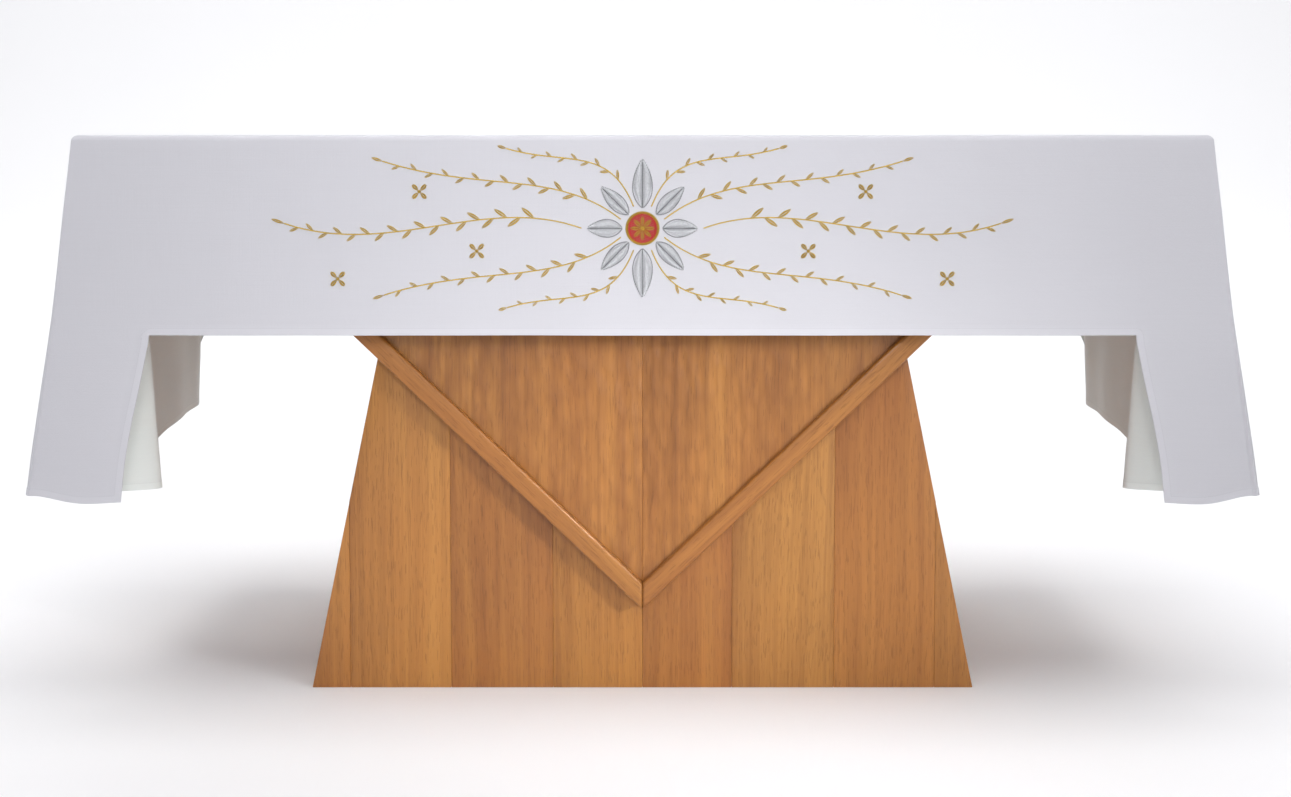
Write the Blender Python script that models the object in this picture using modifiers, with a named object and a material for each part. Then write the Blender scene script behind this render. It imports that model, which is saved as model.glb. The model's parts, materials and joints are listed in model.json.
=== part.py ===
"""Altar cloth laid over a plain altar table.

The cloth is one hemmed sheet. It lies on the slab, hangs a third of a metre in front and behind and
over half a metre at both ends, and its spare cloth falls in a fold at each corner. The table is a
slab on a hollow body of upright boards, with a V-shaped board and its border on the front.
Metres, +Z up, front towards -Y, origin on the floor under the middle of the table.
"""

import math
from collections import namedtuple

import bmesh
import bpy
from mathutils import Vector

# Table sizes
TABLE_HEIGHT = 0.913
SLAB_WIDTH = 1.79
SLAB_DEPTH = 0.86
SLAB_THICKNESS = 0.05
SLAB_ROUNDING = 0.012
SLAB_ROUNDING_STEPS = 3

BODY_FOOT_WIDTH = 1.096
BODY_TOP_WIDTH = 0.740
BODY_DEPTH = 0.66
BOARD_THICKNESS = 0.025
FRONT_JOINTS = (0.0, 0.148, 0.317, 0.484)
SIDE_BOARDS = 4

V_TOP_WIDTH = 1.502
V_POINT_HEIGHT = 0.1406
V_THICKNESS = 0.030
BORDER_WIDTH = 0.032
BORDER_THICKNESS = 0.012

# Room between neighbouring pieces
JOINT_GAP = 0.0003

# Cloth sizes
CLOTH_THICKNESS = 0.002
EDGE_CLEARANCE = 0.002
EDGE_RADIUS = 0.009
LONG_DROP = 0.316
END_DROP = 0.584
RIDGE_SOFTNESS = 0.006
RIDGE_FULL_SIZE = 0.040
TUCK_SOFTNESS = 0.016
FOLD_START = 0.26
FLAT_STEPS = 6
END_STEPS = 3
STEPS_PER_SPAN = 2
EDGE_ANGLES = (0.0, 45.0)

# Middle of the sheet's thickness, where it hangs and where it lies
SHEET_HALF_WIDTH = SLAB_WIDTH / 2 + EDGE_CLEARANCE + CLOTH_THICKNESS / 2
SHEET_HALF_DEPTH = SLAB_DEPTH / 2 + EDGE_CLEARANCE + CLOTH_THICKNESS / 2
SHEET_HEIGHT = TABLE_HEIGHT + JOINT_GAP + CLOTH_THICKNESS / 2

# A corner's fold at one depth below the top. All but the drop are measured from the sheet's corner:
# edge_in is where the flap's free edge or the straight drop ends, ridge_out and ridge_forward the
# outer ridge, tuck_in and tuck_back the soft ridge behind it, join_back where the end drop begins.
Section = namedtuple(
    "Section", "drop edge_in ridge_out ridge_forward tuck_in tuck_back join_back"
)
FRONT_CORNER = (
    Section(EDGE_RADIUS, 0.115, 0.0012, 0.0002, 0.000, 0.004, 0.014),
    Section(0.058, 0.115, 0.0079, 0.0014, 0.000, 0.014, 0.036),
    Section(0.120, 0.115, 0.0170, 0.003, 0.036, 0.034, 0.080),
    Section(0.210, 0.115, 0.0290, 0.005, 0.082, 0.058, 0.125),
    Section(LONG_DROP, 0.115, 0.0440, 0.008, 0.107, 0.080, 0.168),
    Section(0.345, 0.110, 0.0480, 0.009, 0.109, 0.085, 0.178),
    Section(0.400, 0.098, 0.0560, 0.010, 0.110, 0.092, 0.192),
    Section(0.465, 0.083, 0.0650, 0.012, 0.112, 0.098, 0.202),
    Section(0.525, 0.072, 0.0735, 0.013, 0.115, 0.103, 0.208),
    Section(END_DROP, 0.065, 0.0815, 0.014, 0.118, 0.106, 0.212),
)
BACK_CORNER = (
    Section(EDGE_RADIUS, 0.115, 0.0012, 0.0002, 0.000, 0.004, 0.014),
    Section(0.058, 0.115, 0.0079, 0.0014, 0.000, 0.014, 0.036),
    Section(0.120, 0.112, 0.0170, 0.003, 0.010, 0.030, 0.070),
    Section(0.210, 0.102, 0.0290, 0.005, 0.020, 0.045, 0.095),
    Section(LONG_DROP, 0.080, 0.0440, 0.008, 0.026, 0.060, 0.120),
    Section(0.345, 0.050, 0.0480, 0.009, 0.027, 0.065, 0.128),
    Section(0.400, 0.014, 0.0560, 0.010, 0.028, 0.072, 0.140),
    Section(0.465, -0.010, 0.0650, 0.012, 0.028, 0.078, 0.150),
    Section(0.525, -0.024, 0.0735, 0.013, 0.027, 0.083, 0.158),
    Section(END_DROP, -0.034, 0.0815, 0.014, 0.026, 0.088, 0.166),
)

# How far the hem hangs below the top at each part of a corner's fold
Hem = namedtuple("Hem", "edge flap ridge tuck join end")
FRONT_HEM = Hem(0.584, 0.587, 0.571, 0.580, 0.580, 0.579)
BACK_HEM = Hem(0.552, 0.574, 0.590, 0.532, 0.540, 0.550)


def material(name, colour, roughness):
    """A plain surface of one colour, none of them metal."""
    made = bpy.data.materials.new(name)
    made.use_nodes = True
    shader = made.node_tree.nodes["Principled BSDF"]
    shader.inputs["Base Color"].default_value = (*colour, 1.0)
    shader.inputs["Roughness"].default_value = roughness
    shader.inputs["Metallic"].default_value = 0.0
    return made


def clear_scene():
    for old in list(bpy.data.objects):
        bpy.data.objects.remove(old, do_unlink=True)


def smooth_curve(points, steps):
    """Points along a smooth curve that starts and ends on the first and last point given."""
    padded = [2 * points[0] - points[1], *points, 2 * points[-1] - points[-2]]
    curve = []
    for a, b, c, d in zip(padded, padded[1:], padded[2:], padded[3:]):
        for step in range(steps):
            t = step / steps
            weights = (
                (1 - t) ** 3,
                3 * t**3 - 6 * t**2 + 4,
                -3 * t**3 + 3 * t**2 + 3 * t + 1,
                t**3,
            )
            curve.append(sum((w * p for w, p in zip(weights, (a, b, c, d))), Vector((0, 0, 0))) / 6)
    curve.append(points[-1].copy())
    return curve


def towards(start, end, distance):
    """The point that far from start towards end, or two fifths of the way if they are close."""
    way = end - start
    return start + way.normalized() * min(distance, 0.4 * way.length)


def corner_fold(section, hem):
    """A corner's cloth at one section, from the flap's edge to the end drop.

    Each point is the distance in from the end drop, the distance in from the long drop, and the
    depth below the top.
    """
    edge = Vector((section.edge_in, 0.0))
    ridge = Vector((-section.ridge_out, -section.ridge_forward))
    tuck = Vector((section.tuck_in, section.tuck_back))
    join = Vector((0.0, section.join_back))
    end = Vector((0.0, FOLD_START))
    softness = RIDGE_SOFTNESS * min(1.0, section.ridge_out / RIDGE_FULL_SIZE)
    guides = (
        (edge, hem.edge),
        (edge.lerp(ridge, 1 / 2), hem.flap),
        (towards(ridge, edge, 4 * softness), hem.ridge),
        (towards(ridge, edge, softness), hem.ridge),
        (towards(ridge, tuck, softness), hem.ridge),
        (towards(ridge, tuck, 4 * softness), hem.ridge),
        (ridge.lerp(tuck, 1 / 2), (hem.ridge + hem.tuck) / 2),
        (towards(tuck, ridge, TUCK_SOFTNESS), hem.tuck),
        (towards(tuck, join, TUCK_SOFTNESS), hem.tuck),
        (tuck.lerp(join, 1 / 2), (hem.tuck + hem.join) / 2),
        (join, hem.join),
        (join.lerp(end, 1 / 2), (hem.join + hem.end) / 2),
        (end, hem.end),
    )
    below = max(0.0, (section.drop - LONG_DROP) / (END_DROP - LONG_DROP))
    points = []
    for place, lowest in guides:
        drop = min(section.drop, LONG_DROP) + below * (lowest - LONG_DROP)
        points.append(Vector((place.x, place.y, drop)))
    return smooth_curve(points, STEPS_PER_SPAN)


def left_section(front, back):
    """The left half of the cloth at one section, from the front middle round to the back middle.

    Each point is its distance left of the middle, its distance behind the middle, and its drop.
    """
    def flat(section, side):
        reach = SHEET_HALF_WIDTH - section.edge_in
        return [
            Vector((reach * step / FLAT_STEPS, side * SHEET_HALF_DEPTH, section.drop))
            for step in range(FLAT_STEPS)
        ]

    def corner(section, hem, side):
        return [
            Vector((SHEET_HALF_WIDTH - p.x, side * (SHEET_HALF_DEPTH - p.y), p.z))
            for p in corner_fold(section, hem)
        ]

    front_corner = corner(front, FRONT_HEM, -1)
    back_corner = corner(back, BACK_HEM, 1)
    end = [
        front_corner[-1].lerp(back_corner[-1], step / END_STEPS)
        for step in range(1, END_STEPS)
    ]
    hangs_low = front.drop > LONG_DROP
    return (
        [None] * FLAT_STEPS if hangs_low else flat(front, -1)
    ) + front_corner + end + back_corner[::-1] + (
        [None] * FLAT_STEPS if hangs_low else flat(back, 1)[::-1]
    )


def rolled_over_edge(section, angle):
    """The section raised along the rounded top edge, at that many degrees from flat."""
    turn = math.radians(angle)
    raised = []
    for p in section:
        inner = Vector((
            min(p.x, SHEET_HALF_WIDTH - EDGE_RADIUS),
            max(-SHEET_HALF_DEPTH + EDGE_RADIUS, min(p.y, SHEET_HALF_DEPTH - EDGE_RADIUS)),
        ))
        place = inner.lerp(p.xy, math.sin(turn))
        raised.append(Vector((place.x, place.y, EDGE_RADIUS * (1 - math.cos(turn)))))
    return raised


def cloth_rows():
    """The left half of the cloth, one row of points for each section from the top edge down."""
    sections = [left_section(front, back) for front, back in zip(FRONT_CORNER, BACK_CORNER)]
    return [rolled_over_edge(sections[0], angle) for angle in EDGE_ANGLES] + sections


def strictly_rising(values):
    """The values in order, each once, those closer than a tenth of a millimetre taken as one."""
    kept = []
    for value in sorted(values):
        if not kept or value - kept[-1] > 0.0001:
            kept.append(value)
    return kept


def make_cloth(collection, finish):
    """The sheet: its left half, mirrored, then given its thickness."""
    rows = cloth_rows()
    mesh = bmesh.new()

    def vertex(point):
        return mesh.verts.new((-point.x, point.y, SHEET_HEIGHT - point.z))

    grid = [[vertex(p) if p else None for p in row] for row in rows]
    for upper, lower in zip(grid, grid[1:]):
        for a, b, c, d in zip(upper, upper[1:], lower[1:], lower):
            if c and d:
                mesh.faces.new((a, b, c, d))

    widths = strictly_rising(p.x for p in rows[0])
    depths = strictly_rising(p.y for p in rows[0])
    top = [[vertex(Vector((x, y, 0.0))) for y in depths] for x in widths]
    for near, far in zip(top, top[1:]):
        for a, b, c, d in zip(near, near[1:], far[1:], far):
            mesh.faces.new((a, b, c, d))

    bmesh.ops.remove_doubles(mesh, verts=mesh.verts, dist=0.0001)
    bmesh.ops.recalc_face_normals(mesh, faces=mesh.faces)
    data = bpy.data.meshes.new("altar_cloth")
    mesh.to_mesh(data)
    mesh.free()
    cloth = bpy.data.objects.new("altar_cloth", data)
    collection.objects.link(cloth)
    data.materials.append(finish)
    data.shade_smooth()

    mirror = cloth.modifiers.new("Right half", "MIRROR")
    mirror.use_axis = (True, False, False)
    mirror.merge_threshold = 0.0001
    thickness = cloth.modifiers.new("Thickness", "SOLIDIFY")
    thickness.thickness = CLOTH_THICKNESS
    thickness.offset = 0.0
    thickness.use_even_offset = True
    return cloth


def make_slab(collection, finish):
    """The slab that the cloth lies on, its edges and corners rounded."""
    bpy.ops.mesh.primitive_cube_add(
        size=1.0,
        location=(0.0, 0.0, TABLE_HEIGHT - SLAB_THICKNESS / 2),
        scale=(SLAB_WIDTH, SLAB_DEPTH, SLAB_THICKNESS),
    )
    slab = bpy.context.active_object
    bpy.ops.object.transform_apply(location=False, rotation=False, scale=True)
    slab.name = "table_slab"
    slab.data.name = "table_slab"
    slab.data.materials.append(finish)
    for owner in list(slab.users_collection):
        owner.objects.unlink(slab)
    collection.objects.link(slab)
    rounding = slab.modifiers.new("Rounding", "BEVEL")
    rounding.width = SLAB_ROUNDING
    rounding.segments = SLAB_ROUNDING_STEPS
    slab.data.shade_smooth()
    slab.data.set_sharp_from_angle(angle=math.radians(30))
    return slab


def cut_board(name, outline, thickness, middle, collection, finish):
    """A flat board with that outline in X and Z, its middle plane at Y = middle."""
    curve = bpy.data.curves.new(name, "CURVE")
    curve.dimensions = "2D"
    curve.fill_mode = "BOTH"
    curve.extrude = thickness / 2
    spline = curve.splines.new("POLY")
    spline.points.add(len(outline) - 1)
    for point, (x, z) in zip(spline.points, outline):
        point.co = (x, z, 0.0, 1.0)
    spline.use_cyclic_u = True
    curve.materials.append(finish)
    board = bpy.data.objects.new(name, curve)
    board.location.y = middle
    board.rotation_euler.x = math.pi / 2
    collection.objects.link(board)
    return board


def body_height():
    return TABLE_HEIGHT - SLAB_THICKNESS - JOINT_GAP


def body_lean():
    """How far the body's side comes in for each metre up."""
    return (BODY_FOOT_WIDTH - BODY_TOP_WIDTH) / 2 / body_height()


def upright_outline(inner, outer):
    """An upright of the front or back between two joints, cut along the body's leaning side."""
    height = body_height()
    lean = body_lean()
    inner += JOINT_GAP / 2
    outer = min(outer - JOINT_GAP / 2, BODY_FOOT_WIDTH / 2)
    shoulder = BODY_TOP_WIDTH / 2
    outline = [(inner, 0.0), (outer, 0.0)]
    if outer < BODY_FOOT_WIDTH / 2:
        outline.append((outer, min(height, (BODY_FOOT_WIDTH / 2 - outer) / lean)))
    if inner < shoulder < outer:
        outline.append((shoulder, height))
    outline.append((inner, min(height, (BODY_FOOT_WIDTH / 2 - inner) / lean)))
    return outline


def make_uprights(collection, finish):
    """The body's front and back, each of upright boards from the middle outwards."""
    joints = (*FRONT_JOINTS, BODY_FOOT_WIDTH)
    middle = (BODY_DEPTH - BOARD_THICKNESS) / 2
    for face, place in (("front", -middle), ("back", middle)):
        for number, (inner, outer) in enumerate(zip(joints, joints[1:]), 1):
            outline = upright_outline(inner, outer)
            for side, sign in (("left", -1), ("right", 1)):
                cut_board(
                    f"{face}_board_{side}_{number}",
                    [(sign * x, z) for x, z in outline],
                    BOARD_THICKNESS,
                    place,
                    collection,
                    finish,
                )


def make_sides(collection, finish):
    """The body's two leaning sides, each of boards side by side between front and back."""
    height = body_height()
    foot = BODY_FOOT_WIDTH / 2
    shoulder = BODY_TOP_WIDTH / 2
    across = BOARD_THICKNESS / math.cos(math.atan(body_lean()))
    outline = [(foot, 0.0), (shoulder, height), (shoulder - across, height), (foot - across, 0.0)]
    room = BODY_DEPTH - 2 * (BOARD_THICKNESS + JOINT_GAP)
    pitch = (room + JOINT_GAP) / SIDE_BOARDS
    for number in range(SIDE_BOARDS):
        place = -room / 2 + (pitch - JOINT_GAP) / 2 + number * pitch
        for side, sign in (("left", -1), ("right", 1)):
            cut_board(
                f"side_board_{side}_{number + 1}",
                [(sign * x, z) for x, z in outline],
                pitch - JOINT_GAP,
                place,
                collection,
                finish,
            )


def make_v_board(collection, finish):
    """The V-shaped front board in two halves, with a raised border along each slanting edge."""
    top = body_height()
    half = V_TOP_WIDTH / 2
    slope = (top - V_POINT_HEIGHT) / half
    seam = JOINT_GAP / 2
    lift = BORDER_WIDTH * math.sqrt(1 + slope**2)
    board = [(seam, V_POINT_HEIGHT + slope * seam), (half, top), (seam, top)]
    border = [
        (seam, V_POINT_HEIGHT + slope * seam),
        (half, top),
        (half - lift / slope, top),
        (seam, V_POINT_HEIGHT + slope * seam + lift),
    ]
    board_middle = -BODY_DEPTH / 2 - JOINT_GAP - V_THICKNESS / 2
    border_middle = board_middle - V_THICKNESS / 2 - JOINT_GAP - BORDER_THICKNESS / 2
    for side, sign in (("left", -1), ("right", 1)):
        for name, outline, thickness, middle in (
            (f"v_board_{side}", board, V_THICKNESS, board_middle),
            (f"v_border_{side}", border, BORDER_THICKNESS, border_middle),
        ):
            cut_board(
                name,
                [(sign * x, z) for x, z in outline],
                thickness,
                middle,
                collection,
                finish,
            )


def main():
    clear_scene()
    collection = bpy.data.collections.new("Altar cloth on an altar table")
    bpy.context.scene.collection.children.link(collection)
    make_cloth(collection, material("White cloth", (0.80, 0.81, 0.84), 0.85))
    make_slab(collection, material("Oak slab", (0.42, 0.21, 0.07), 0.45))
    make_uprights(collection, material("Oak uprights", (0.45, 0.22, 0.07), 0.45))
    make_sides(collection, material("Oak sides", (0.44, 0.21, 0.07), 0.45))
    make_v_board(collection, material("Oak front board", (0.40, 0.19, 0.06), 0.40))


main()
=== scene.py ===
"""Embroidered altar cloth over its oak table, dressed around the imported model.

The cloth is one fine sheet on the folds of its solid, with a turned hem and soft waves. Its front
drop carries a rosette and sprigs in raised thread. The table's boards get softened edges and oak.
Lengths are in metres, +Z up, front towards -Y.
"""

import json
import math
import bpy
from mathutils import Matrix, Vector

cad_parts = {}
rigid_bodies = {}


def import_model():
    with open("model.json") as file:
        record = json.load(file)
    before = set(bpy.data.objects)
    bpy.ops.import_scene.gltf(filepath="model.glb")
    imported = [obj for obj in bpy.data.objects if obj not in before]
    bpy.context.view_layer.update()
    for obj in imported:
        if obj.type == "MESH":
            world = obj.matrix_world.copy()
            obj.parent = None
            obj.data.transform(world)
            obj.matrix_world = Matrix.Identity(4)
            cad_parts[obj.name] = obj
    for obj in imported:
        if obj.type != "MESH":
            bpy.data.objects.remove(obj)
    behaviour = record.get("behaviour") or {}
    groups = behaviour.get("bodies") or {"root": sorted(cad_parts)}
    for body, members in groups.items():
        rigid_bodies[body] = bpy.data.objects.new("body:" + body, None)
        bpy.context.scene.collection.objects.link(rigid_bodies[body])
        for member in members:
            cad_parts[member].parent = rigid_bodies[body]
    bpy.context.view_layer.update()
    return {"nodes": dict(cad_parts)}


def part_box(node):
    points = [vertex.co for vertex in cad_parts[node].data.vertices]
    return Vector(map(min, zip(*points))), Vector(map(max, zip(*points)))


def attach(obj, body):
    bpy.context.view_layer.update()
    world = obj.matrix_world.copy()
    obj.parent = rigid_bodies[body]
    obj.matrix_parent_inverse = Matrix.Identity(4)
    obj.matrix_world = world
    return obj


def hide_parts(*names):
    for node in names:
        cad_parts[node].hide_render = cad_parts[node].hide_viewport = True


bl_info = {
    "name": "Altar Cloth on an Oak Table",
    "version": (1, 0, 0),
    "blender": (4, 5, 0),
    "location": "3D View > Sidebar > Altar Cloth",
    "description": "Builds an embroidered altar cloth over its oak table, around a fixed frame",
    "category": "Add Mesh",
}

from collections import namedtuple

import bmesh
import bpy
import numpy as np
from mathutils import Vector

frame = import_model()
SLAB_LOW, SLAB_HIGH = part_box("table_slab")
CLOTH_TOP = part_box("altar_cloth")[1][2]

# Where the middle of the sheet hangs and lies, from the slab that it covers
SOLID_THICKNESS = 0.002
EDGE_CLEARANCE = 0.002
SHEET_HALF_WIDTH = SLAB_HIGH[0] + EDGE_CLEARANCE + SOLID_THICKNESS / 2
SHEET_HALF_DEPTH = SLAB_HIGH[1] + EDGE_CLEARANCE + SOLID_THICKNESS / 2
SHEET_HEIGHT = CLOTH_TOP - SOLID_THICKNESS / 2

# Fall of the cloth
EDGE_RADIUS = 0.009
LONG_DROP = 0.316
END_DROP = 0.584
FOLD_START = 0.26
RIDGE_SOFTNESS = 0.006
RIDGE_FULL_SIZE = 0.040
TUCK_SOFTNESS = 0.016

# How far the frame's boards stand apart
JOINT_GAP = 0.0003

# How far the table's end walls lean in from upright
END_LEAN = math.radians(11.65)

# A corner's fold at one depth below the top. All but the drop are measured from the sheet's corner:
# edge_in is where the flap's free edge or the straight drop ends, ridge_out and ridge_forward the
# outer ridge, tuck_in and tuck_back the soft ridge behind it, join_back where the end drop begins.
Section = namedtuple(
    "Section", "drop edge_in ridge_out ridge_forward tuck_in tuck_back join_back"
)
FRONT_CORNER = (
    Section(EDGE_RADIUS, 0.115, 0.0012, 0.0002, 0.000, 0.004, 0.014),
    Section(0.058, 0.115, 0.0079, 0.0014, 0.000, 0.014, 0.036),
    Section(0.120, 0.115, 0.0170, 0.003, 0.036, 0.034, 0.080),
    Section(0.210, 0.115, 0.0290, 0.005, 0.082, 0.058, 0.125),
    Section(LONG_DROP, 0.115, 0.0440, 0.008, 0.107, 0.080, 0.168),
    Section(0.345, 0.110, 0.0480, 0.009, 0.109, 0.085, 0.178),
    Section(0.400, 0.098, 0.0560, 0.010, 0.110, 0.092, 0.192),
    Section(0.465, 0.083, 0.0650, 0.012, 0.112, 0.098, 0.202),
    Section(0.525, 0.072, 0.0735, 0.013, 0.115, 0.103, 0.208),
    Section(END_DROP, 0.065, 0.0815, 0.014, 0.118, 0.106, 0.212),
)
BACK_CORNER = (
    Section(EDGE_RADIUS, 0.115, 0.0012, 0.0002, 0.000, 0.004, 0.014),
    Section(0.058, 0.115, 0.0079, 0.0014, 0.000, 0.014, 0.036),
    Section(0.120, 0.112, 0.0170, 0.003, 0.010, 0.030, 0.070),
    Section(0.210, 0.102, 0.0290, 0.005, 0.020, 0.045, 0.095),
    Section(LONG_DROP, 0.080, 0.0440, 0.008, 0.026, 0.060, 0.120),
    Section(0.345, 0.050, 0.0480, 0.009, 0.027, 0.065, 0.128),
    Section(0.400, 0.014, 0.0560, 0.010, 0.028, 0.072, 0.140),
    Section(0.465, -0.010, 0.0650, 0.012, 0.028, 0.078, 0.150),
    Section(0.525, -0.024, 0.0735, 0.013, 0.027, 0.083, 0.158),
    Section(END_DROP, -0.034, 0.0815, 0.014, 0.026, 0.088, 0.166),
)

# How far the hem hangs below the top at each part of a corner's fold
Hem = namedtuple("Hem", "edge flap ridge tuck join end")
FRONT_HEM = Hem(0.584, 0.587, 0.571, 0.580, 0.580, 0.579)
BACK_HEM = Hem(0.552, 0.574, 0.590, 0.532, 0.540, 0.550)

# Near a fold's free edge: where its first guide stands, its first and last columns as shares of
# the way to that guide, and how far the turned hem's step takes
EDGE_GUIDE = 0.03
FIRST_COLUMN, LAST_COLUMN = 0.03, 0.72
HEM_STEP = 0.0008

# The plain rows stop this far above a hem, and the lowest row but one stands this far above it
HEM_ROOM = 0.006
LAST_ROW = 0.0010

# Vertices closer than this are one
MERGE_DISTANCE = 0.00002

# Fineness of the sheet
FLAT_COLUMNS = 40
END_COLUMNS = 26
SPAN_COLUMNS = 5
EDGE_ROWS = 6
LONG_ROWS = 26
LOW_ROWS = 18

# Soft waves of the drops: waves to the metre, share of the whole height, and where each starts
Wave = namedtuple("Wave", "per_metre share start")
LONG_WAVES = (Wave(1.7, 0.45, 0.6), Wave(3.1, 0.30, 2.1), Wave(5.3, 0.25, 4.0))
END_WAVES = (Wave(2.3, 0.60, 1.1), Wave(4.9, 0.40, 3.0))

# How the waves slip aside with depth, how steeply they grow, and how deep they still grow
WAVE_SLIP = 1.1
WAVE_GROWTH = 1.4
GROWTH_END = 1.6

# Faint crests on the slab: their height, and each factor's turns across, along and at the start
CREST_HEIGHT = 0.0003
CRESTS = ((9.0, 4.0, 0.0), (-2.0, 5.0, 1.0))


def length_property(name, description, default, low, high):
    return bpy.props.FloatProperty(
        name=name, description=description, default=default, min=low, max=high, unit="LENGTH"
    )


def colour_property(name, description, default):
    return bpy.props.FloatVectorProperty(
        name=name, description=description, default=default, size=3, min=0.0, max=1.0,
        subtype="COLOR",
    )


class ClothSettings(bpy.types.PropertyGroup):
    """Sizes and colours of the sheet."""

    thickness: length_property("Thickness", "Thickness of the single cloth", 0.0013, 0.0005, 0.002)
    hem_width: length_property("Hem width", "Height of the turned hem", 0.013, 0.004, 0.03)
    hem_thickness: length_property(
        "Hem thickness", "Thickness of the doubled cloth in the hem", 0.0021, 0.001, 0.003
    )
    wave_height: length_property(
        "Wave height", "How far the drops wave in and out at the hem", 0.0035, 0.0, 0.008
    )
    colour: colour_property("Right side", "Colour of the cloth's right side", (0.63, 0.625, 0.66))
    # The reverse is the same cloth as the right side, given a much lighter colour: painted light on
    # the reverse, both where it is lit and where it lies in shade
    painted_lit_reverse_colour: colour_property(
        "Reverse", "Colour of the cloth's reverse", (0.87, 0.905, 0.875)
    )


class EmbroiderySettings(bpy.types.PropertyGroup):
    """Threads and layout of the embroidery on the front drop."""

    rosette_drop: length_property(
        "Rosette below top", "How far the rosette's middle lies below the top", 0.146, 0.1, 0.2
    )
    thread: length_property("Thread", "Width of one satin stitch", 0.0011, 0.0005, 0.002)
    gold: colour_property("Gold", "Colour of the gold thread", (0.70, 0.49, 0.085))
    silver: colour_property("Silver", "Colour of the silver thread", (0.78, 0.79, 0.81))
    red: colour_property("Red", "Colour of the red silk in the rosette", (0.66, 0.014, 0.012))


class TableSettings(bpy.types.PropertyGroup):
    """Edges and colours of the oak table."""

    arris: length_property("Softened edge", "Rounding of the boards' edges", 0.0010, 0.0002, 0.004)
    border_edge: length_property(
        "Border rounding", "Rounding of the raised border's front edges", 0.0055, 0.001, 0.008
    )
    golden_oak: colour_property(
        "Golden oak", "Colour of the golden early wood", (0.49, 0.222, 0.046)
    )
    red_oak: colour_property("Red oak", "Colour of the reddish early wood", (0.43, 0.155, 0.029))
    dark_oak: colour_property(
        "Dark oak", "Colour of the late wood and pores", (0.22, 0.076, 0.014)
    )


class StageSettings(bpy.types.PropertyGroup):
    """Floor, light and camera."""

    camera_distance: length_property(
        "Camera distance", "From the camera to the front drop", 3.05, 1.0, 10.0
    )
    camera_tilt: bpy.props.FloatProperty(
        name="Camera tilt", description="How far the camera looks down from level",
        default=math.radians(4.2), min=0.0, max=math.radians(15), subtype="ANGLE",
    )
    floor_colour: colour_property("Floor", "Colour of the floor and backdrop", (0.90, 0.90, 0.90))


# Shader graphs


class Value:
    """A socket's value; arithmetic on it adds Math nodes."""

    def __init__(self, finish, socket):
        self.finish = finish
        self.socket = socket

    def _math(self, operation, *values):
        return self.finish.node(
            "ShaderNodeMath", {"operation": operation}, dict(enumerate(values))
        )

    def __add__(self, other):
        return self._math("ADD", self, other)

    def __radd__(self, other):
        return self._math("ADD", other, self)

    def __sub__(self, other):
        return self._math("SUBTRACT", self, other)

    def __rsub__(self, other):
        return self._math("SUBTRACT", other, self)

    def __mul__(self, other):
        return self._math("MULTIPLY", self, other)

    def __rmul__(self, other):
        return self._math("MULTIPLY", other, self)

    def __truediv__(self, other):
        return self._math("DIVIDE", self, other)

    def __lt__(self, other):
        return self._math("LESS_THAN", self, other)

    def __gt__(self, other):
        return self._math("GREATER_THAN", self, other)

    def sine(self):
        return self._math("SINE", self)

    def fraction(self):
        return self._math("FRACT", self)

    def size(self):
        return self._math("ABSOLUTE", self)


class Finish:
    """A material with its Principled shader, and the one way in which its nodes are added."""

    def __init__(self, name, **constants):
        self.material = bpy.data.materials.new(name)
        self.material.use_nodes = True
        self.tree = self.material.node_tree
        self.shader = self.tree.nodes["Principled BSDF"]
        for socket, value in constants.items():
            self.shader.inputs[socket.replace("_", " ")].default_value = value

    def node(self, kind, settings=None, inputs=None, output=0):
        """A new node: its type, its settings, its sockets' values or links, and its output."""
        made = self.tree.nodes.new(kind)
        for name, value in (settings or {}).items():
            setattr(made, name, value)
        for name, value in (inputs or {}).items():
            if isinstance(value, Value):
                self.tree.links.new(value.socket, made.inputs[name])
            else:
                made.inputs[name].default_value = value
        return Value(self, made.outputs[output])

    def drive(self, socket, value):
        self.tree.links.new(value.socket, self.shader.inputs[socket])

    def place(self):
        """Object coordinates: metres in the shared frame."""
        return self.node("ShaderNodeTexCoord", output="Object")

    def uv(self, layer):
        return self.node("ShaderNodeUVMap", {"uv_map": layer})

    def parts(self, vector):
        """A vector's three numbers."""
        made = self.tree.nodes.new("ShaderNodeSeparateXYZ")
        self.tree.links.new(vector.socket, made.inputs[0])
        return [Value(self, socket) for socket in made.outputs]

    def vector(self, x, y, z):
        return self.node("ShaderNodeCombineXYZ", inputs={0: x, 1: y, 2: z})

    def mapped(self, vector, scale=(1, 1, 1), turn=(0, 0, 0), shift=(0, 0, 0)):
        return self.node(
            "ShaderNodeMapping",
            inputs={"Vector": vector, "Scale": scale, "Rotation": turn, "Location": shift},
        )

    def noise(self, vector, scale, detail=2.0, roughness=0.5):
        return self.node(
            "ShaderNodeTexNoise",
            inputs={"Vector": vector, "Scale": scale, "Detail": detail, "Roughness": roughness},
        )

    def mixed(self, share, first, second):
        """Two colours mixed."""
        return self.node(
            "ShaderNodeMix", {"data_type": "RGBA"}, {0: share, 6: first, 7: second}, output=2
        )

    def bump(self, height, strength, distance):
        self.drive("Normal", self.node(
            "ShaderNodeBump",
            inputs={"Height": height, "Strength": strength, "Distance": distance},
            output="Normal",
        ))


def opaque(colour, factor=1.0):
    """A colour with its strength scaled and full alpha."""
    return (*(channel * factor for channel in colour), 1.0)


# Pitch of the weave, and the sewn line of the hem: its distance from the free edge, half its
# width, the length of a stitch and the share of it that the thread covers
WEAVE_PITCH = 0.0011
SEAM_PLACE, SEAM_REACH, SEAM_STITCH, SEAM_COVER = 0.0112, 0.0006, 0.0036, 0.72
HEM_SHADE_END = 0.0118

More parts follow.
